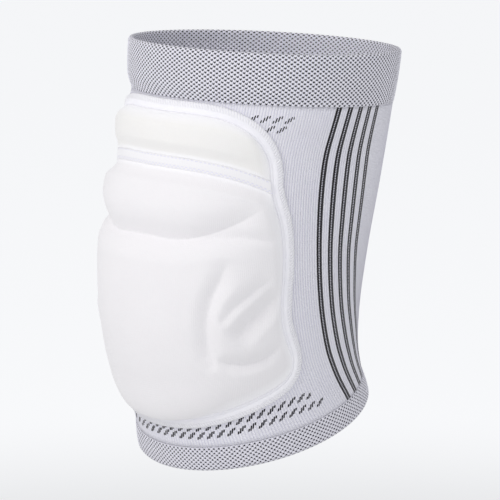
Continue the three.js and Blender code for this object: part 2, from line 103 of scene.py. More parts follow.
# Rows and columns of the meshes
SLEEVE_ROWS_UP = 62
SLEEVE_ROWS_DOWN = 38
BEND_POINTS = 9  # over the rim of a cuff
LOWER_COLUMNS = 210
LOWER_ROWS_BELOW = 136  # below the groove under the roll
LOWER_ROWS_ABOVE = 56
UPPER_COLUMNS = 180
UPPER_ROWS = 60
HEM_COLUMNS = 420
HEM_ROWS = 18
BORDER_COLUMNS = 1440
CURVE_STEPS = 60  # points of the border line in each part between two rows of its table


def table(columns, *rows):
    """Named columns of numbers."""
    return {
        name: np.array([row[i] for row in rows], float)
        for i, name in enumerate(columns.split())
    }


LEG_SECTIONS = table(
    "up radius depth back tilt",
    (0.0, 0.984, 1.027, 0.128, -16.0),
    (0.06, 0.974, 1.014, 0.078, -16.0),
    (0.15, 0.982, 1.006, 0.012, -14.5),
    (0.25, 0.983, 1.018, -0.003, -9.8),
    (0.35, 0.997, 1.022, 0.0, -3.9),
    (0.5, 1.033, 1.008, 0.04, 3.1),
    (0.65, 1.071, 0.998, 0.112, 4.1),
    (0.8, 1.102, 0.992, 0.184, 4.1),
    (1.0, 1.146, 0.994, 0.26, 3.6),
)
PAD_OUTLINE = table(
    "across up",
    (0.0, 0.004),
    (0.25, 0.006),
    (0.42, 0.014),
    (0.58, 0.028),
    (0.71, 0.044),
    (0.82, 0.06),
    (0.915, 0.082),
    (0.98, 0.117),
    (1.003, 0.158),
    (0.997, 0.2),
    (0.967, 0.25),
    (0.938, 0.3),
    (0.925, 0.365),
    (0.922, 0.44),
    (0.912, 0.51),
    (0.893, 0.568),
    (0.862, 0.63),
    (0.822, 0.685),
    (0.79, 0.735),
    (0.776, 0.785),
    (0.752, 0.835),
    (0.705, 0.885),
    (0.643, 0.926),
    (0.57, 0.957),
    (0.47, 0.982),
    (0.35, 0.996),
    (0.0, 1.0),
)
LOWER_SWELL = table(
    "up swell",
    (0.0, 0.26),
    (0.06, 0.44),
    (0.12, 0.62),
    (0.2, 0.83),
    (0.3, 0.96),
    (0.4, 1.0),
    (0.5, 0.965),
    (0.56, 0.9),
    (0.61, 0.905),
    (0.66, 0.877),
    (0.71, 0.745),
    (0.76, 0.504),
    (0.83, 0.33),
)
UPPER_SWELL = table(
    "up swell",
    (0.72, 0.6),
    (0.8, 0.72),
    (0.84, 0.92),
    (0.88, 1.0),
    (0.93, 0.92),
    (1.0, 0.5),
)
# The groove below the roll with its share of the depth, and the edge of the dome under it
ROLL_VALLEY = table(
    "across up deep",
    (0.0, 0.549, 1.0),
    (0.1, 0.548, 1.0),
    (0.21, 0.545, 1.0),
    (0.34, 0.556, 1.0),
    (0.46, 0.581, 0.9),
    (0.53, 0.602, 0.72),
    (0.6, 0.627, 0.45),
    (0.667, 0.658, 0.14),
    (0.74, 0.69, 0.0),
    (1.0, 0.76, 0.0),
)
DOME_EDGE = table(
    "across up",
    (0.0, 0.527),
    (0.12, 0.5265),
    (0.26, 0.525),
    (0.38, 0.534),
    (0.49, 0.547),
    (0.59, 0.551),
    (0.69, 0.549),
    (0.77, 0.544),
    (1.0, 0.53),
)
# Moulded channels on both sides of the front: depth and reach of the walls on the left and on
# the right of the path in mm, how round the bottom is, and the path with its share of the depth
DOME_CREASE = dict(
    depth=1.6,
    left=3.6,
    right=6.0,
    roundness=1.2,
    path=table(
        "across up deep",
        (0.82, 0.556, 0.0),
        (0.74, 0.558, 0.6),
        (0.66, 0.563, 0.9),
        (0.57, 0.566, 1.0),
        (0.48, 0.562, 0.8),
        (0.41, 0.556, 0.4),
        (0.33, 0.55, 0.0),
    ),
)
CHANNELS = (
    dict(
        depth=3.2,
        left=8.0,
        right=6.5,
        roundness=1.2,
        path=table(
            "across up deep",
            (0.54, 0.505, 0.0),
            (0.52, 0.476, 0.35),
            (0.493, 0.434, 0.8),
            (0.46, 0.394, 1.0),
            (0.44, 0.354, 1.0),
            (0.433, 0.314, 1.0),
            (0.435, 0.273, 1.0),
            (0.445, 0.239, 0.8),
            (0.463, 0.215, 0.45),
            (0.485, 0.195, 0.0),
        ),
    ),
    dict(
        depth=2.3,
        left=8.0,
        right=7.0,
        roundness=1.15,
        path=table(
            "across up deep",
            (0.775, 0.445, 0.0),
            (0.742, 0.43, 0.4),
            (0.68, 0.406, 0.85),
            (0.619, 0.381, 1.0),
            (0.571, 0.361, 1.0),
            (0.523, 0.331, 0.7),
            (0.505, 0.317, 0.0),
        ),
    ),
    dict(
        depth=5.0,
        left=9.0,
        right=8.0,
        roundness=1.5,
        path=table(
            "across up deep",
            (0.585, 0.267, 0.0),
            (0.617, 0.289, 0.7),
            (0.657, 0.311, 1.0),
            (0.707, 0.334, 1.0),
            (0.758, 0.357, 0.85),
            (0.805, 0.38, 0.5),
            (0.845, 0.4, 0.0),
        ),
    ),
    dict(
        depth=3.0,
        left=5.0,
        right=5.5,
        roundness=1.15,
        path=table(
            "across up deep",
            (0.86, 0.24, 0.0),
            (0.825, 0.224, 0.4),
            (0.763, 0.206, 0.8),
            (0.69, 0.199, 1.0),
            (0.622, 0.2, 1.0),
            (0.557, 0.208, 0.85),
            (0.51, 0.22, 0.45),
            (0.47, 0.236, 0.0),
        ),
    ),
)
# The side veins stand a little proud: middle and reach as shares of the pads, height in mm
LOBES = dict(across=0.56, up=0.335, wide=0.15, tall=0.11, height=1.4)
# The angle, in degrees from the front, of the first and the last side stripe
STRIPES = table(
    "up first last",
    (0.0, 110.0, 143.0),
    (0.056, 107.2, 139.0),
    (0.124, 101.5, 132.5),
    (0.176, 97.3, 128.3),
    (0.23, 93.4, 124.0),
    (0.33, 88.7, 117.0),
    (0.412, 85.4, 112.6),
    (0.49, 82.8, 109.3),
    (0.565, 80.6, 107.6),
    (0.63, 79.0, 106.2),
    (0.7, 78.2, 104.9),
    (0.75, 78.4, 104.3),
    (0.8, 79.8, 104.9),
    (0.863, 82.0, 106.6),
    (1.0, 87.0, 111.0),
)
FIRST_STRIPE = 65  # its wale, from the front
STRIPE_STEP = 5  # wales from stripe to stripe
STRIPE_COUNT = 5
STRIPE_HALF_WIDTH = 1.06  # in wales
STRIPE_RAGGED = 0.12  # and how much wider in the middle of each row of stitches
DOT_HALF_WIDTH = 0.22  # the light dots in a stripe, in wales
DOT_HALF_HEIGHT = 0.27  # and in rows of stitches
# Height of the lower row of woven dashes, as a share of the sleeve's height, by degrees from
# the front
DASH_ROWS = table(
    "angle low",
    (0.0, 0.094),
    (12.0, 0.093),
    (24.0, 0.093),
    (49.0, 0.101),
    (60.0, 0.105),
    (70.0, 0.108),
    (80.0, 0.106),
    (100.0, 0.098),
)


def smooth(rows, key, column, at):
    """A smooth curve through a table's rows."""
    x, y = rows[key], rows[column]
    at = np.clip(np.asarray(at, float), x[0], x[-1])
    before = np.maximum(np.arange(len(x)) - 1, 0)
    after = np.minimum(np.arange(len(x)) + 1, len(x) - 1)
    slope = (y[after] - y[before]) / (x[after] - x[before])
    i = np.clip(np.searchsorted(x, at, side="right") - 1, 0, len(x) - 2)
    step = x[i + 1] - x[i]
    t = (at - x[i]) / step
    return (
        (2 * t**3 - 3 * t**2 + 1) * y[i]
        + (t**3 - 2 * t**2 + t) * step * slope[i]
        + (3 * t**2 - 2 * t**3) * y[i + 1]
        + (t**3 - t**2) * step * slope[i + 1]
    )


def waist(height, angle):
    """How far the knit draws in under the top cuff."""
    away = (height - (SLEEVE_HEIGHT - TOP_CUFF_HEIGHT)) / WAIST_REACH
    return WAIST * np.exp(-(away**2)) * np.clip(np.cos(angle), 0, 1)


def leg_point(height, angle, out):
    """Points at a height up the sleeve, an angle from the front, and so far out from its face."""
    out = out - waist(height, angle)
    share = height / SLEEVE_HEIGHT
    half = smooth(LEG_SECTIONS, "up", "radius", share) * KNEE_RADIUS
    deep = half * smooth(LEG_SECTIONS, "up", "depth", share)
    back = smooth(LEG_SECTIONS, "up", "back", share) * KNEE_RADIUS
    tilt = np.radians(smooth(LEG_SECTIONS, "up", "tilt", share))
    backward = -np.cos(angle) * (deep + out)
    x = np.sin(angle) * (half + out)
    y = back + backward * np.cos(tilt)
    z = height - KNEE_HEIGHT - backward * np.sin(tilt)
    return np.stack(np.broadcast_arrays(x, y, z), axis=-1)


def pad_point(across, up, out):
    """The same for places on the pads, in millimetres across and up from their bottom."""
    return leg_point(PAD_BOTTOM + up, across / KNEE_RADIUS, out)


def make_object(name, points, faces, bake_uv, stitch_uv, mark_uv=None, flat_faces=0):
    """A smooth mesh object, in metres, with its maps given for each corner of each face, and with
    so many of its last faces flat."""
    mesh = bpy.data.meshes.new(name)
    mesh.from_pydata((points.reshape(-1, 3) * MM).tolist(), [], faces.tolist())
    maps = {"OFBake": bake_uv, "stitch": stitch_uv}
    if mark_uv is not None:
        maps["marks"] = mark_uv
    for map_name, values in maps.items():
        layer = mesh.uv_layers.new(name=map_name)
        layer.data.foreach_set("uv", np.ascontiguousarray(values, np.float32).ravel())
    smooth_faces = np.arange(len(faces)) < len(faces) - flat_faces
    mesh.polygons.foreach_set("use_smooth", smooth_faces)
    mesh.update()
    piece = bpy.data.objects.new(name, mesh)
    bpy.context.scene.collection.objects.link(piece)
    return piece


def quads(rows, columns, wrap_rows, wrap_columns):
    """Faces of a grid, and the row and column of each face's corners before wrapping."""
    i, j = np.meshgrid(
        np.arange(rows if wrap_rows else rows - 1),
        np.arange(columns if wrap_columns else columns - 1),
        indexing="ij",
    )
    i, j = i.ravel(), j.ravel()
    corner_rows = np.stack([i, i, i + 1, i + 1], axis=1)
    corner_columns = np.stack([j, j + 1, j + 1, j], axis=1)
    faces = (corner_rows % rows) * columns + corner_columns % columns
    return faces, corner_rows, corner_columns


def ring_object(name, points, stitch, marks=None):
    """A closed ring: rows run round its section and columns round the ring. The maps have one
    more row and column than the points, for the faces that close the ring."""
    rows, columns = points.shape[:2]
    faces, i, j = quads(rows, columns, True, True)
    bake = np.stack([j / columns, i / rows], axis=-1) * 0.98 + 0.01
    mark_uv = None if marks is None else marks[i, j]
    return make_object(name, points, faces, bake, stitch[i, j], mark_uv)


def plate_object(name, outer, inner, stitch, marks=None):
    """A closed plate between a grid of outer points and the same grid of inner points."""
    rows, columns = outer.shape[:2]
    faces, i, j = quads(rows, columns, False, False)
    share = np.stack([j / (columns - 1), i / (rows - 1)], axis=-1)
    face_bake = share * (0.98, 0.68) + 0.01
    back_bake = share * (0.98, 0.24) + (0.01, 0.72)
    at = np.arange(rows * columns).reshape(rows, columns)
    rim = np.concatenate([at[0, :-1], at[:-1, -1], at[-1, :0:-1], at[:0:-1, 0]])
    after = np.roll(rim, -1)
    under = rows * columns
    walls = np.stack([rim, rim + under, after + under, after], axis=1)
    along = np.arange(len(rim)) / len(rim)
    corners = np.stack([along, along, along + 1 / len(rim), along + 1 / len(rim)], axis=1)
    heights = np.broadcast_to([0.98, 0.99, 0.99, 0.98], corners.shape)
    wall_bake = np.stack([corners * 0.98 + 0.01, heights], axis=-1)
    turned = [0, 3, 2, 1]
    at_walls = np.stack([rim, rim, after, after], axis=1)

    def on_all(values):
        face = values[i, j]
        return np.concatenate([face, face[:, turned], values.reshape(-1, 2)[at_walls]])

    points = np.concatenate([outer.reshape(-1, 3), inner.reshape(-1, 3)])
    all_faces = np.concatenate([faces, (faces + under)[:, turned], walls])
    bake = np.concatenate([face_bake, back_bake[:, turned], wall_bake])
    mark_uv = None if marks is None else on_all(marks)
    return make_object(name, points, all_faces, bake, on_all(stitch), mark_uv, len(walls))


# Knit pieces

STRIPE_WALES = (0, FIRST_STRIPE, FIRST_STRIPE + STRIPE_STEP * (STRIPE_COUNT - 1), HALF_WALES)


def even_angles(wales, shares):
    return np.radians(wales * 180 / HALF_WALES + 0 * shares[:, None])


def striped_angles(wales, shares):
    """Angles of columns of stitches, one row for each height, drawn aside with the stripes."""
    first = smooth(STRIPES, "up", "first", shares)
    last = smooth(STRIPES, "up", "last", shares)
    rows = [
        np.interp(np.abs(wales), STRIPE_WALES, (0, a, b, 180)) * np.sign(wales)
        for a, b in zip(first, last)
    ]
    return np.radians(np.array(rows))


def knit_tube(name, heights, outs, course, angles_at, relief):
    """A knitted ring whose rows follow a closed profile of heights and distances out."""
    columns = 2 * HALF_WALES * PER_WALE
    wales = np.arange(columns + 1) / PER_WALE - HALF_WALES
    around = np.append(heights, heights[0])
    along = np.append(0, np.cumsum(np.hypot(np.diff(around), np.diff(np.append(outs, outs[0])))))
    courses = along / course
    angles = angles_at(wales, around / SLEEVE_HEIGHT)
    raised = relief(wales[None, :-1], courses[:-1, None])
    outside = np.arange(len(heights)) < len(heights) * OUTSIDE_SHARE
    facing = np.where(outside, 1.0, -1.0)
    out = outs[:, None] + raised * facing[:, None]
    points = leg_point(heights[:, None], angles[:-1, :-1], out)
    stitch = np.stack(np.broadcast_arrays(wales[None, :], courses[:, None]), axis=-1)
    row = smooth(DASH_ROWS, "angle", "low", np.degrees(np.abs(angles))) * SLEEVE_HEIGHT
    marks = np.stack([angles * KNEE_RADIUS, around[:, None] - row], axis=-1)
    return ring_object(name, points, stitch, marks)


def rib_relief(wales, courses):
    return RIB_RELIEF * np.cos(2 * np.pi * wales) + 0 * courses


def birdseye_relief(wales, courses):
    """Light stitches stand out and dark ones lie back, each the shape of a small V."""
    leg = np.abs(wales % 1 - 0.5) * 2
    row = np.floor(courses - 0.5 * leg)
    light = (np.floor(wales) + row) % 2
    return LIGHT_RELIEF * light * np.cos(np.pi * (wales % 1 - 0.5)) - DARK_RELIEF


def sleeve():
    low = BOTTOM_CUFF_HEIGHT + SEAM
    high = SLEEVE_HEIGHT - TOP_CUFF_HEIGHT - SEAM
    up = np.linspace(low, high, SLEEVE_ROWS_UP)
    down = np.linspace(high, low, SLEEVE_ROWS_DOWN)
    heights = np.concatenate([up, down])
    outs = np.concatenate([np.zeros(len(up)), np.full(len(down), -SLEEVE_WALL)])
    return knit_tube("sleeve_knit", heights, outs, BODY_COURSE, striped_angles, rib_relief)


def cuff(name, seam, rim, wall):
    """A doubled welt: up its outer face, over the rounded rim and back down inside."""
    face, lining = CUFF_RISE, CUFF_RISE - wall
    toward = 1 if rim > seam else -1
    bend = wall / 2
    span = abs(rim - seam)
    steps = int(span / CUFF_COURSE * ROWS_PER_COURSE)
    share = np.linspace(0, 1 - bend / span, steps)
    crown = CUFF_CROWN * np.sin(np.pi * share) ** 0.6
    turn = np.linspace(0, np.pi, BEND_POINTS)[1:-1]
    middle = (face + lining) / 2
    heights = np.concatenate(
        [
            seam + toward * span * share,
            rim - toward * bend * (1 - np.sin(turn)),
            seam + toward * span * share[::-1],
        ]
    )
    outs = np.concatenate(
        [face + crown, middle + bend * np.cos(turn), np.full(steps, lining)]
    )
    piece = knit_tube(name, heights, outs, CUFF_COURSE, even_angles, birdseye_relief)
    if toward < 0:
        piece.data.flip_normals()
    return piece


# Padded front


def catmull_rom(points, steps):
    """A smooth closed curve through points, with centripetal spacing, and finely divided."""
    before, after = np.roll(points, 1, 0), np.roll(points, -1, 0)
    beyond = np.roll(points, -2, 0)

    def gap(a, b):
        return np.sqrt(np.linalg.norm(b - a, axis=1))[:, None]

    g0, g1, g2 = gap(before, points), gap(points, after), gap(after, beyond)
    start = ((points - before) / g0 - (after - before) / (g0 + g1) + (after - points) / g1) * g1
    end = ((after - points) / g1 - (beyond - points) / (g1 + g2) + (beyond - after) / g2) * g1
    t = np.linspace(0, 1, steps, endpoint=False)[None, :, None]
    curve = (
        (2 * t**3 - 3 * t**2 + 1) * points[:, None]
        + (t**3 - 2 * t**2 + t) * start[:, None]
        + (3 * t**2 - 2 * t**3) * after[:, None]
        + (t**3 - t**2) * end[:, None]
    )
    return curve.reshape(-1, 2)


def border_line():
    """The border's outer edge from the bottom middle anticlockwise, and its length so far."""
    right = np.stack(
        [PAD_OUTLINE["across"] * PAD_HALF_WIDTH, PAD_OUTLINE["up"] * PAD_HEIGHT], axis=1
    )
    left = right[-2:0:-1] * (-1, 1)
    line = catmull_rom(np.concatenate([right, left]), CURVE_STEPS)
    line = np.concatenate([line, line[:1]])
    length = np.append(0, np.cumsum(np.linalg.norm(np.diff(line, axis=0), axis=1)))
    return line, length


BORDER_LINE, BORDER_LENGTHS = border_line()
BORDER_LENGTH = BORDER_LENGTHS[-1]


def inside_point(share, inset):
    """Points so far inside the border's outer edge, at shares of that edge's length."""
    share = np.asarray(share, float)

    def at(place):
        length = (place % 1) * BORDER_LENGTH
        return np.stack(
            [np.interp(length, BORDER_LENGTHS, BORDER_LINE[:, k]) for k in (0, 1)], axis=-1
        )

    along = at(share + 0.001) - at(share - 0.001)
    along = along / np.linalg.norm(along, axis=-1, keepdims=True)
    normal = np.stack([-along[..., 1], along[..., 0]], axis=-1)
    return at(share) + normal * np.asarray(inset)[..., None]


def hem_top(across):
    reach = PAD_HALF_WIDTH * 0.75
    return PAD_HEIGHT - UPPER_PANEL_HEIGHT - HEM_DROP * (np.abs(across) / reach) ** 3


def above_hem(across):
    return hem_top(across) + SEAM


def below_hem(across):
    return hem_top(across) - HEM_HEIGHT - SEAM


def crossing(inset, line):
    """The share of the border's length where a line inside it meets a line across the pads."""
    shares = np.linspace(BOTTOM_CORNER, 0.5, 4000)
    points = inside_point(shares, np.full(len(shares), float(inset)))
    return shares[np.argmax(points[:, 1] > line(points[:, 0]))]


def fill(bottom, top, left, right):
    """A grid of points that fills four edges."""
    u = np.linspace(0, 1, len(bottom))[None, :, None]
    v = np.linspace(0, 1, len(left))[:, None, None]
    return (
        (1 - v) * bottom[None]
        + v * top[None]
        + (1 - u) * left[:, None]
        + u * right[:, None]
        - (1 - u) * (1 - v) * bottom[0]
        - u * (1 - v) * bottom[-1]
        - (1 - u) * v * top[0]
        - u * v * top[-1]
    )


def line_across(end, count, line):
    x = np.linspace(-end, end, count)
    return np.stack([x, line(x)], axis=1)


def edge_line(start, end, count, inset):
    return inside_point(np.linspace(start, end, count), np.full(count, inset))


INSET = BORDER_WIDTH + SEAM


def roll_valley(across):
    share = np.abs(across) / PAD_HALF_WIDTH
    return smooth(ROLL_VALLEY, "across", "up", share) * PAD_HEIGHT


def lower_grid(columns, below, above):
    middle_cut, top_cut = crossing(INSET, roll_valley), crossing(INSET, below_hem)
    bottom = edge_line(-BOTTOM_CORNER, BOTTOM_CORNER, columns, INSET)
    middle = line_across(inside_point(middle_cut, INSET)[0], columns, roll_valley)
    top = line_across(inside_point(top_cut, INSET)[0], columns, below_hem)
    low_side = edge_line(BOTTOM_CORNER, middle_cut, below, INSET)
    high_side = edge_line(middle_cut, top_cut, above, INSET)
    flip = (-1, 1)
    low = fill(bottom, middle, low_side * flip, low_side)
    high = fill(middle, top, high_side * flip, high_side)
    return np.concatenate([low, high[1:]])


def upper_grid(columns, rows):
    cut = crossing(INSET, above_hem)
    side = edge_line(cut, TOP_CORNER, rows, INSET)
    top = edge_line(1 - TOP_CORNER, TOP_CORNER, columns, INSET)
    bottom = line_across(inside_point(cut, INSET)[0], columns, above_hem)
    return fill(bottom, top, side * (-1, 1), side)


def to_path(grid, path):
    """Distance to a path, positive on its left, and the share of the depth at its nearest point."""
    best = np.full(grid.shape[:2], np.inf)
    side = np.ones(grid.shape[:2])
    deep = np.zeros(grid.shape[:2])
    points = np.stack([path["across"] * PAD_HALF_WIDTH, path["up"] * PAD_HEIGHT], axis=1)
    here = np.stack([np.abs(grid[..., 0]), grid[..., 1]], axis=-1)
    for i in range(len(points) - 1):
        along = points[i + 1] - points[i]
        offset = here - points[i]
        t = np.clip(offset @ along / (along @ along), 0, 1)
        distance = np.linalg.norm(offset - t[..., None] * along, axis=-1)
        turn = along[0] * offset[..., 1] - along[1] * offset[..., 0]
        value = path["deep"][i] * (1 - t) + path["deep"][i + 1] * t
        nearer = distance < best
        side = np.where(nearer, np.sign(turn), side)
        deep = np.where(nearer, value, deep)
        best = np.minimum(distance, best)
    return best * side, deep


def groove_depth(grid, channel):
    distance, deep = to_path(grid, channel["path"])
    reach = np.where(distance > 0, channel["left"], channel["right"])
    share = np.minimum(np.abs(distance) / reach, 1)
    return channel["depth"] * deep * (1 - share ** channel["roundness"]) ** 2


def valley_depth(grid):
    """A groove under the rounded roll, from which the top of the dome comes out slowly."""
    share = np.abs(grid[..., 0]) / PAD_HALF_WIDTH
    groove = roll_valley(grid[..., 0])
    dome = smooth(DOME_EDGE, "across", "up", share) * PAD_HEIGHT
    deep = np.maximum(smooth(ROLL_VALLEY, "across", "deep", share), 0)
    roll_side = np.clip(1 - (grid[..., 1] - groove) / VALLEY_ABOVE, 0, 1) ** ROLL_SIDE_POWER
    down = np.clip((groove - grid[..., 1]) / (groove - dome), 0, 1)
    shelf = 1 - (1 - VALLEY_SHELF) * down**SHELF_POWER
    dome_side = np.clip(1 - (dome - grid[..., 1]) / VALLEY_BELOW, 0, 1) ** DOME_SIDE_POWER
    wall = np.where(grid[..., 1] > groove, roll_side, shelf * dome_side)
    return VALLEY_DEPTH * deep * wall


def channel_depth(grid):
    """Depths of all the channels, which run into each other softly."""
    depths = [valley_depth(grid) + groove_depth(grid, DOME_CREASE)]
    depths += [groove_depth(grid, channel) for channel in CHANNELS]
    return np.sum(np.power(depths, 3), axis=0) ** (1 / 3)


def lobe_height(grid):
    x = (np.abs(grid[..., 0]) / PAD_HALF_WIDTH - LOBES["across"]) / LOBES["wide"]
    z = (grid[..., 1] / PAD_HEIGHT - LOBES["up"]) / LOBES["tall"]
    return LOBES["height"] * np.exp(-(x**2) - z**2)


def round_over(distance, over):
    """Share of the full thickness at a distance from the edge, steep at the edge itself."""
    t = np.minimum(distance / over, 1)
    return (1 - (1 - t) ** 2) ** 0.6


def ease(distance):
    """A share from 0 to 1 that starts and ends level."""
    t = np.minimum(distance / ROUND_OVER, 1)
    return t * t * (3 - 2 * t)


def side_fall(across):
    """How the pads get thinner towards the sides."""
    return 1 - np.minimum(np.abs(across) / PAD_HALF_WIDTH, 1) ** SIDE_FALL_POWER


def hem_thickness(across):
    return np.maximum(HEM_THICKNESS * side_fall(across), PAD_EDGE)


def edge_distances(grid, hem_row):
    """Distance of each point to the border and to the hem."""

    def gap(other):
        return np.linalg.norm(grid - other, axis=-1)

    border_row = 0 if hem_row else -1
    side = np.minimum(gap(grid[:, :1]), gap(grid[:, -1:]))
    return side, gap(grid[border_row][None]), gap(grid[hem_row][None])


def overhang(across, above_edge):
    """How far down the foam of the lower pad bulges, at a distance above its bottom edge."""
    t = np.minimum(above_edge / OVERHANG_RISE, 1)
    bulge = 27 / 4 * t * (1 - t) ** 2  # its largest value is 1, at a third of the rise
    return OVERHANG * bulge * np.clip(1 - (across / OVERHANG_REACH) ** 2, 0, 1)


def pad(name, grid, hem_row, full, end_round, sag=0.0):
    """A pad of such a thickness, rounded down to the border and eased down to the hem."""
    side, end, to_hem = edge_distances(grid, hem_row)
    rounded = round_over(side, ROUND_OVER) * round_over(end, end_round)
    thick = PAD_EDGE + np.maximum(full - PAD_EDGE, 0) * rounded
    low = np.minimum(thick, hem_thickness(grid[..., 0]))
    thick = low + (thick - low) * ease(to_hem)
    outer = pad_point(grid[..., 0], grid[..., 1] - sag, SEAT_GAP + thick)
    inner = pad_point(grid[..., 0], grid[..., 1], np.full(thick.shape, SEAT_GAP))
    marks = np.stack([np.minimum(side, end), to_hem], axis=-1)
    return plate_object(name, outer, inner, grid, marks)


def lower_pad():
    grid = lower_grid(LOWER_COLUMNS, LOWER_ROWS_BELOW, LOWER_ROWS_ABOVE)
    swell = smooth(LOWER_SWELL, "up", "swell", grid[..., 1] / PAD_HEIGHT)
    full = LOWER_PAD_THICKNESS * swell * side_fall(grid[..., 0]) + lobe_height(grid)
    full = full - channel_depth(grid)
    above_edge = np.linalg.norm(grid - grid[:1], axis=-1)
    sag = overhang(grid[..., 0], above_edge)
    return pad("lower_pad_cloth", grid, -1, full, BOTTOM_ROUND, sag)


def upper_pad():
    grid = upper_grid(UPPER_COLUMNS, UPPER_ROWS)
    swell = smooth(UPPER_SWELL, "up", "swell", grid[..., 1] / PAD_HEIGHT)
    full = UPPER_PAD_THICKNESS * swell * side_fall(grid[..., 0])
    return pad("upper_pad_cloth", grid, 0, full, ROUND_OVER)


def hem():
    shares = np.linspace(0, 1, HEM_ROWS)
    lines = []
    for share in shares:

        def line(across):
            return hem_top(across) - HEM_HEIGHT * (1 - share)

        end = inside_point(crossing(INSET, line), INSET)[0]
        lines.append(line_across(end, HEM_COLUMNS, line))
    grid = np.array(lines)
    face = 1.0 + 0.03 * np.sin(np.pi * shares)[:, None]
    rows_sunk = sum(np.exp(-(((shares - row) / 0.07) ** 2)) for row in HEM_DENTS)
    pulled = 0.7 + 0.3 * np.cos(2 * np.pi * grid[..., 0] / HEM_STITCH)
    thick = hem_thickness(grid[..., 0]) * face - 0.07 * rows_sunk[:, None] * pulled
    outer = pad_point(grid[..., 0], grid[..., 1], SEAT_GAP + thick)
    inner = pad_point(grid[..., 0], grid[..., 1], np.full(thick.shape, SEAT_GAP))
    place = np.broadcast_arrays(grid[..., 0], shares[:, None] * HEM_HEIGHT)
    return plate_object("hem_band", outer, inner, np.stack(place, axis=-1))


def border():
    """The flat flange, with the slanted threads of its overlocked edge standing out."""
    shares = np.arange(BORDER_COLUMNS + 1) / BORDER_COLUMNS
    section = table(
        "inset out thread crease",
        (0.0, 0.0, 0.0, 0.0),
        (0.0, 0.55, 0.3, 0.0),
        (0.35, 0.92, 0.8, 0.0),
        (1.0, 1.0, 1.0, 0.0),
        (1.8, 1.02, 1.0, 0.0),
        (2.6, 1.02, 0.8, 0.0),
        (3.4, 1.0, 0.5, 0.0),
        (4.0, 0.96, 0.0, 0.16),
        (4.3, 0.94, 0.0, 0.32),
        (4.6, 0.93, 0.0, 0.13),
        (5.1, 0.92, 0.0, 0.0),
        (5.6, 0.87, 0.0, 0.0),
        (5.6, 0.0, 0.0, 0.0),
    )
    rows = []
    for inset, out, thread, crease in zip(*section.values()):
        p = inside_point(shares[:-1], np.full(BORDER_COLUMNS, inset))
        slant = shares[:-1] * BORDER_LENGTH / ROPE_PITCH + inset / ROPE_SLANT
        lift = ROPE_LIFT * thread * np.cos(2 * np.pi * slant)
        # The crease fades out towards the top cuff
        creased = np.clip((0.95 - p[:, 1] / PAD_HEIGHT) / 0.2, 0, 1)
        height = SEAT_GAP + BORDER_THICKNESS * (out - crease * creased) + lift
        rows.append(pad_point(p[:, 0], p[:, 1], height))
    points = np.array(rows)[::-1]
    insets = np.append(section["inset"], section["inset"][0])[::-1]
    stitch = np.stack(
        np.broadcast_arrays(shares[None, :] * BORDER_LENGTH, insets[:, None]), axis=-1
    )
    return ring_object("border_flange", points, stitch)


# Materials


class Field:
    """A value inside a material, on which sums can be written."""

    def __init__(self, tree, socket):
        self.tree, self.socket = tree, socket

    def work(self, operation, *others):
        node = self.tree.nodes.new("ShaderNodeMath")
        node.operation = operation
        for place, value in enumerate((self, *others)):
            if isinstance(value, Field):
                self.tree.links.new(value.socket, node.inputs[place])
            else:
                node.inputs[place].default_value = value
        return Field(self.tree, node.outputs[0])

    def __add__(self, other):
        return self.work("ADD", other)

    def __sub__(self, other):
        return self.work("SUBTRACT", other)

    def __mul__(self, other):
        return self.work("MULTIPLY", other)

    def floor(self):
        return self.work("FLOOR")

    def fract(self):
        return self.work("FRACT")

    def wrap(self, period):
        return self.work("FLOORED_MODULO", period)

    def size(self):
        return self.work("ABSOLUTE")

    def sin(self):
        return self.work("SINE")

    def below(self, other):
        return self.work("LESS_THAN", other)

    def above(self, other):
        return self.work("GREATER_THAN", other)

    def least(self, other):
        return self.work("MINIMUM", other)

    def most(self, other):
        return self.work("MAXIMUM", other)


def both(a, b):
    """Where two masks of zeros and ones are both one."""
    return a * b


class Cloth:
    """A fabric material that is being built up."""

    def __init__(self, name, roughness, sheen):
        self.material = bpy.data.materials.new(name)
        self.material.use_nodes = True
        self.tree = self.material.node_tree
        self.surface = self.tree.nodes["Principled BSDF"]
        self.surface.inputs["Roughness"].default_value = roughness
        self.surface.inputs["Specular IOR Level"].default_value = 0.25
        self.surface.inputs["Sheen Weight"].default_value = sheen
        self.surface.inputs["Sheen Roughness"].default_value = 0.5

    def map(self, name):
        node = self.tree.nodes.new("ShaderNodeUVMap")
        node.uv_map = name
        split = self.tree.nodes.new("ShaderNodeSeparateXYZ")
        self.tree.links.new(node.outputs[0], split.inputs[0])
        return Field(self.tree, split.outputs[0]), Field(self.tree, split.outputs[1])

    def noise(self, scale, detail=3.0):
        place = self.tree.nodes.new("ShaderNodeTexCoord")
        node = self.tree.nodes.new("ShaderNodeTexNoise")
        node.inputs["Scale"].default_value = scale
        node.inputs["Detail"].default_value = detail
        self.tree.links.new(place.outputs["Object"], node.inputs["Vector"])
        return Field(self.tree, node.outputs["Fac"])

    def mix(self, amount, first, second):
        node = self.tree.nodes.new("ShaderNodeMix")
        node.data_type = "RGBA"
        self.tree.links.new(amount.socket, node.inputs["Factor"])
        colours = [s for s in node.inputs if s.type == "RGBA"]
        for socket, colour in zip(colours, (first, second)):
            if isinstance(colour, tuple):
                socket.default_value = (*colour, 1)
            else:
                self.tree.links.new(colour, socket)
        return next(s for s in node.outputs if s.type == "RGBA")

    def finish(self, colour, height, distance, strength=1.0):
        bump = self.tree.nodes.new("ShaderNodeBump")
        bump.inputs["Distance"].default_value = distance * MM
        bump.inputs["Strength"].default_value = strength
        self.tree.links.new(height.socket, bump.inputs["Height"])
        self.tree.links.new(bump.outputs["Normal"], self.surface.inputs["Normal"])
        self.tree.links.new(colour, self.surface.inputs["Base Color"])
        return self.material


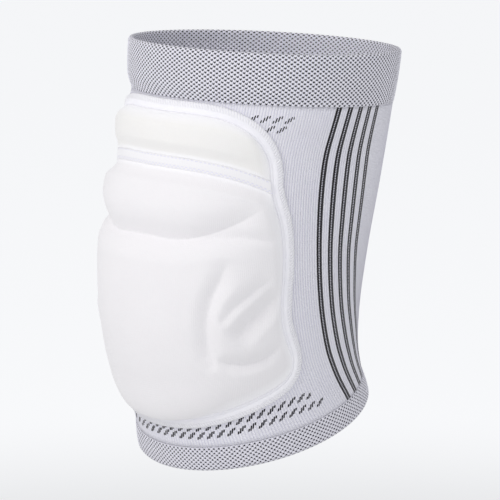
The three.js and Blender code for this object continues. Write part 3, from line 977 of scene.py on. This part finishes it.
def srgb(red, green, blue):
    """Screen colours from 0 to 255 as the linear values that a material takes."""
    return tuple(
        (c / 255 / 12.92) if c <= 10 else ((c / 255 + 0.055) / 1.055) ** 2.4
        for c in (red, green, blue)
    )


DARK_YARN = srgb(22, 19, 26)
KNIT_LIGHT = srgb(250, 249, 255)
# KNIT_SHADE is what the knit darkens to: painted shade in the hollows between its loops, and random
# tone
KNIT_SHADE = srgb(228, 226, 246)
CUFF_LIGHT = srgb(250, 249, 255)
PAD_WHITE = srgb(243, 241, 243)
# PAD_SHADE and UPPER_SHADE are what the pads darken to: painted shade in the hollows between the
# threads, and random tone
PAD_SHADE = srgb(233, 230, 233)
UPPER_WHITE = srgb(243, 242, 241)
UPPER_SHADE = srgb(239, 236, 231)
BORDER_WHITE = srgb(253, 252, 255)
# BORDER_SHADE is what the flange darkens to: painted shade in the hollows of its rope threads,
# random tone and a fine pattern
BORDER_SHADE = srgb(232, 231, 242)
HEM_WHITE = srgb(244, 243, 245)
# HEM_SHADE is what the hem darkens to: painted shade in the hollows between its ribs, and random
# tone
HEM_SHADE = srgb(238, 236, 242)
HEM_THREAD = srgb(234, 233, 247)
EDGE_FADE = 5.0  # distance over which a pad is paler beside the border
HEM_FADE = 2.2  # and beside the hem

DASH_STEP = 5.3  # from one cluster of woven dashes to the next
DASH_BAR = 0.41  # half the width of a bar of the clusters
CORNER_DASH_BAR = 0.29  # and of those beside the upper corners
DASH_LEAN = 0.3  # how far a bar leans to the side for each millimetre up
DASH_RAKE = 0.75  # how much higher each bar stands than the one before it
DASH_HALF_HEIGHT = 1.2  # of the two middle bars of a cluster
DASH_SHORTER = 0.55  # and how much less that is for the two outer bars
DASH_ROW_GAP = 3.2  # from the lower to the upper row at the front
DASH_ROW_SPREAD = 0.03  # and how much more for each millimetre to the side
LOW_DASH_END = 89.0  # ends of the rows of dashes, on both sides of the front
HIGH_DASH_END = 82.0
CORNER_DASHES = table("first count level", (42.3, 4, 154.6), (49.8, 2, 150.0))
LINING_COURSE = 27.0  # rows of stitches up to the lining of the top cuff
NO_LINING = 1000.0
# The lining's dark stitches are narrower partly as its own look and partly as painted light that
# brightens the shaded inside of the cuff
LINING_THINNER = 0.07  # how much narrower the dark stitches of the lining are, on each side


def stitch_shape(wales, courses):
    """Within a stitch: height of the loop, and its row once bent into a V."""
    leg = (wales.fract() - 0.5).size() * 2.0
    row = courses - leg * 0.5
    across = (wales.fract() * math.pi).sin()
    along = (row.fract() * math.pi).sin()
    return across * (along * 0.45 + 0.55), row


def dash_clusters(along, lift, width):
    """Slanted clusters of four dark bars of half such a width, from places along and above a row
    in millimetres."""
    place = (along - lift * DASH_LEAN).wrap(DASH_STEP)
    bar = (place.fract() - 0.5).size().below(width)
    from_middle = place.floor() - 1.5
    offset = from_middle.size()
    tall = (lift - from_middle * DASH_RAKE).size() + offset.above(1.0) * DASH_SHORTER
    return both(both(bar, offset.below(2.0)), tall.below(DASH_HALF_HEIGHT))


def corner_dashes(along, height, first, count, level):
    """A short row of clusters at a height in millimetres, on both sides of the front."""
    from_first = along.size() - first
    row = dash_clusters(from_first, height - level, CORNER_DASH_BAR)
    return both(row, both(from_first.above(-0.3), from_first.below(count * DASH_STEP - 1.3)))


def sleeve_material():
    cloth = Cloth("sleeve_knit_rib", 0.88, 0.25)
    wale, course = cloth.map("stitch")
    along, lift = cloth.map("marks")
    side = wale.size()
    loop, row = stitch_shape(side, course)
    # Side stripes: two dark wales with a dotted light line between them
    from_first = side - (FIRST_STRIPE - STRIPE_STEP / 2)
    within = both(from_first.above(0.0), from_first.below(STRIPE_STEP * STRIPE_COUNT))
    offset = (from_first.wrap(STRIPE_STEP) - STRIPE_STEP / 2).size()
    ragged = (course.fract() * math.pi).sin() * STRIPE_RAGGED
    dark = both(offset.below(ragged + STRIPE_HALF_WIDTH), within)
    dot_rows = (course.fract() - 0.5).size().below(DOT_HALF_HEIGHT)
    dots = both(offset.below(DOT_HALF_WIDTH), dot_rows)
    stripe = both(dark, (dots * -1.0) + 1.0)
    # Two rows of woven dashes below the pad, and short rows beside its upper corners
    low_row = dash_clusters(along, lift, DASH_BAR)
    apart = along.size() * DASH_ROW_SPREAD + DASH_ROW_GAP
    high_row = dash_clusters(along, lift - apart, DASH_BAR)
    dashes = both(low_row, along.size().below(LOW_DASH_END))
    dashes = dashes.most(both(high_row, along.size().below(HIGH_DASH_END)))
    height = course * BODY_COURSE + BOTTOM_CUFF_HEIGHT
    for first, count, level in zip(*CORNER_DASHES.values()):
        dashes = dashes.most(corner_dashes(along, height, first, count, level))
    marked = stripe.most(dashes)
    blotch = cloth.noise(90.0)
    # Painted shade: the knit is darker in the hollows between its loops, plus random blotches of
    # tone
    shade = (loop * -1.0 + 1.0) * 0.65 + (blotch - 0.5) * 0.3
    light = cloth.mix(shade.most(0.0), KNIT_LIGHT, KNIT_SHADE)
    colour = cloth.mix(marked, light, DARK_YARN)
    return cloth.finish(colour, loop, 0.45)


def cuff_material(name, dark_width, dark_height, lining_course):
    """A birdseye knit, with smaller dark stitches past a row where its lining begins."""
    cloth = Cloth(name, 0.88, 0.25)
    wale, course = cloth.map("stitch")
    loop, row = stitch_shape(wale, course)
    odd = (wale.floor() + row.floor()).wrap(2.0)
    # Past the lining row the dark stitches narrow: partly the lining's own look, partly painted
    # light for the shaded inside of the cuff
    lining = course.above(lining_course)
    edge = (wale.fract() - 0.5).size().below(lining * -LINING_THINNER + dark_width / 2)
    core = (row.fract() - 0.5).size().below(lining * -LINING_THINNER + dark_height / 2)
    dark = both(both(odd.below(0.5), edge), core)
    fuzz = cloth.noise(2600.0, 1.0)
    # Painted shade in the hollows between the loops, plus random fuzz of tone
    loop_shade_and_fuzz = (loop * -1.0 + 1.0) * 0.6 + (fuzz - 0.5) * 0.3
    light = cloth.mix(loop_shade_and_fuzz.most(0.0), CUFF_LIGHT, KNIT_SHADE)
    colour = cloth.mix(dark, light, DARK_YARN)
    height = loop * (dark * -0.5 + 1.0)
    return cloth.finish(colour, height, 0.5)


def pad_material(name, white, shade, weave):
    cloth = Cloth(name, 0.82, 0.35)
    across, up = cloth.map("stitch")
    rib = (across * (math.pi / weave)).sin().size()
    course = (up * (math.pi / (weave * 0.8))).sin().size()
    threads = rib * 0.65 + course * 0.35
    blotch = cloth.noise(45.0)
    fuzz = cloth.noise(1800.0, 2.0)
    # Painted shade: darker in the hollows between the threads, plus random blotches of tone
    recess_shade_and_tone = (blotch - 0.35) * 0.4 + (threads * -1.0 + 1.0) * 0.25
    middle = cloth.mix(recess_shade_and_tone.most(0.0), white, shade)
    # The cloth is drawn thin over the foam and paler at the sewn edges
    from_border, from_hem = cloth.map("marks")
    near = (from_border * (1 / EDGE_FADE)).least(from_hem * (1 / HEM_FADE))
    edge = (near * -1.0 + 1.0).most(0.0)
    colour = cloth.mix(edge, middle, BORDER_WHITE)
    return cloth.finish(colour, threads + fuzz * 0.8, 0.09)


def hem_material():
    cloth = Cloth("hem_stitched", 0.85, 0.3)
    along, up = cloth.map("stitch")
    rib = (along * (math.pi / 0.8)).sin().size()
    course = (up * (math.pi / 0.7)).sin().size()
    share = along * (1 / HEM_STITCH)

    def stitch_row(level, shift):
        row = (up - level).size().below(0.22)
        return both(row, (share + shift).fract().below(0.55))

    lower_rows = stitch_row(0.6, 0.0).most(stitch_row(1.35, 0.5))
    stitch = lower_rows.most(stitch_row(HEM_HEIGHT - 0.6, 0.25))
    blotch = cloth.noise(120.0)
    # Painted shade: darker in the hollows between the ribs, plus random blotches of tone
    recess_shade_and_tone = (rib * -1.0 + 1.0) * 0.25 + (blotch - 0.4) * 0.4
    white = cloth.mix(recess_shade_and_tone.most(0.0), HEM_WHITE, HEM_SHADE)
    colour = cloth.mix(stitch, white, HEM_THREAD)
    return cloth.finish(colour, rib * 0.5 + course * 0.3 - stitch * 0.6, 0.1)


def border_material():
    cloth = Cloth("border_stitched", 0.85, 0.3)
    along, inset = cloth.map("stitch")
    rope = inset.below(ROPE_WIDTH)
    turns = along * (1 / ROPE_PITCH) + inset * (1 / ROPE_SLANT)
    slant = both((turns * (2 * math.pi)).sin(), rope)
    fine = ((along - inset * 0.6) * (2 * math.pi / 0.57)).sin().size()
    blotch = cloth.noise(260.0)
    # Painted shade: darker in the hollows between the slanted rope threads, plus random blotches
    # and a fine pattern
    recess_shade_and_tone = (slant * -0.5 + 0.5) * 0.4 + (blotch - 0.5) * 0.4 + fine * 0.1
    colour = cloth.mix(recess_shade_and_tone.most(0.0), BORDER_WHITE, BORDER_SHADE)
    return cloth.finish(colour, slant * 0.8 + fine * 0.2, 0.16)


def dress(piece, node, material):
    piece.data.materials.append(material)
    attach(piece, "root")
    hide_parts(node)


# Camera, floor and light

CAMERA_AZIMUTH = math.radians(47.0)
CAMERA_ELEVATION = math.radians(11.43)
CAMERA_DISTANCE = 1.6837
CAMERA_LENS = 246.8
CAMERA_CENTRE = Vector((0.0, 0.0023, -0.006))
AIM_UP = 0.0237  # the camera aims this far above and to the right of that centre
AIM_RIGHT = 0.0020
BACK = Vector(
    (
        math.sin(CAMERA_AZIMUTH) * math.cos(CAMERA_ELEVATION),
        -math.cos(CAMERA_AZIMUTH) * math.cos(CAMERA_ELEVATION),
        math.sin(CAMERA_ELEVATION),
    )
)
RIGHT = Vector((math.cos(CAMERA_AZIMUTH), math.sin(CAMERA_AZIMUTH), 0.0))
UP = BACK.cross(RIGHT)

FLOOR_CORNERS = ((-1, -1), (1, -1), (1, 1), (-1, 1))
FLOOR_HALF = 30.0
FLOOR_LEVEL = -0.32
# Between these distances from the middle the floor's painted glow grows from the near to the far
# value; the dimmer middle is painted shade under the knee pad
GLOW_START, GLOW_END = 0.45, 1.1
GLOW_NEAR, GLOW_FAR = 0.44, 0.77


def add_camera():
    data = bpy.data.cameras.new("camera")
    data.lens = CAMERA_LENS
    data.sensor_width = 36.0
    data.clip_start, data.clip_end = 0.1, 60.0
    camera = bpy.data.objects.new("camera", data)
    bpy.context.scene.collection.objects.link(camera)
    camera.location = CAMERA_CENTRE + BACK * CAMERA_DISTANCE
    aim = CAMERA_CENTRE + UP * AIM_UP + RIGHT * AIM_RIGHT
    camera.rotation_euler = (aim - camera.location).to_track_quat("-Z", "Y").to_euler()
    bpy.context.scene.camera = camera


def add_light(name, azimuth, elevation, distance, size, power, colour):
    """A square soft light that faces the knee from a direction given in degrees."""
    a, e = math.radians(azimuth), math.radians(elevation)
    data = bpy.data.lights.new(name, "AREA")
    data.shape = "SQUARE"
    data.size = size
    data.energy = power
    data.color = colour
    light = bpy.data.objects.new(name, data)
    bpy.context.scene.collection.objects.link(light)
    place = Vector((math.sin(a) * math.cos(e), -math.cos(a) * math.cos(e), math.sin(e)))
    light.location = place * distance
    light.rotation_euler = (-place).to_track_quat("-Z", "Y").to_euler()


def add_floor():
    """A pale floor with a painted glow that lights the knee pad from below, glowing a little more
    away from the middle.
    """
    mesh = bpy.data.meshes.new("floor")
    corners = [(x * FLOOR_HALF, y * FLOOR_HALF, 0) for x, y in FLOOR_CORNERS]
    mesh.from_pydata(corners, [], [(0, 1, 2, 3)])
    floor = bpy.data.objects.new("floor", mesh)
    floor.location.z = FLOOR_LEVEL
    bpy.context.scene.collection.objects.link(floor)
    material = bpy.data.materials.new("floor_pale_painted_glow")
    material.use_nodes = True
    tree = material.node_tree
    surface = tree.nodes["Principled BSDF"]
    surface.inputs["Base Color"].default_value = (0.3, 0.3, 0.3, 1)
    surface.inputs["Roughness"].default_value = 1.0
    surface.inputs["Specular IOR Level"].default_value = 0.0
    surface.inputs["Emission Color"].default_value = (*srgb(248, 249, 251), 1)
    place = tree.nodes.new("ShaderNodeTexCoord")
    reach = tree.nodes.new("ShaderNodeVectorMath")
    reach.operation = "LENGTH"
    tree.links.new(place.outputs["Object"], reach.inputs[0])
    glow = tree.nodes.new("ShaderNodeMapRange")
    glow.interpolation_type = "SMOOTHSTEP"
    glow.inputs["From Min"].default_value = GLOW_START
    glow.inputs["From Max"].default_value = GLOW_END
    glow.inputs["To Min"].default_value = GLOW_NEAR
    glow.inputs["To Max"].default_value = GLOW_FAR
    tree.links.new(reach.outputs["Value"], glow.inputs["Value"])
    tree.links.new(glow.outputs["Result"], surface.inputs["Emission Strength"])
    mesh.materials.append(material)


def add_world():
    world = bpy.data.worlds.new("studio")
    bpy.context.scene.world = world
    world.use_nodes = True
    sky = world.node_tree.nodes["Background"]
    sky.inputs["Color"].default_value = (0.93, 0.94, 0.96, 1)
    sky.inputs["Strength"].default_value = 0.66


add_camera()

sleeve_piece = sleeve()
dress(sleeve_piece, "sleeve_body", sleeve_material())
top_piece = cuff("top_cuff_knit", SLEEVE_HEIGHT - TOP_CUFF_HEIGHT, SLEEVE_HEIGHT, TOP_CUFF_WALL)
bottom_piece = cuff("bottom_cuff_knit", BOTTOM_CUFF_HEIGHT, 0.0, BOTTOM_CUFF_WALL)
top_knit = cuff_material("top_cuff_birdseye", 0.78, 0.74, LINING_COURSE)
bottom_knit = cuff_material("bottom_cuff_birdseye", 0.68, 0.64, NO_LINING)
dress(top_piece, "top_cuff", top_knit)
dress(bottom_piece, "bottom_cuff", bottom_knit)
lower_piece = lower_pad()
dress(lower_piece, "lower_pad", pad_material("pad_tricot", PAD_WHITE, PAD_SHADE, 0.75))
upper_piece = upper_pad()
dress(
    upper_piece,
    "upper_pad",
    pad_material("upper_pad_tricot", UPPER_WHITE, UPPER_SHADE, 0.75),
)
hem_piece = hem()
dress(hem_piece, "panel_hem", hem_material())
border_piece = border()
dress(border_piece, "pad_border", border_material())

add_floor()
add_world()
add_light(
    "key",
    azimuth=-5.0,
    elevation=42.0,
    distance=1.9,
    size=1.3,
    power=13.0,
    colour=(1.0, 0.985, 0.97),
)
add_light(
    "front_fill",
    azimuth=52.0,
    elevation=12.0,
    distance=2.2,
    size=1.6,
    power=4.2,
    colour=(0.96, 0.97, 1.0),
)

view = bpy.context.scene.view_settings
view.view_transform = "Standard"
view.look = "None"
view.exposure = 0.0
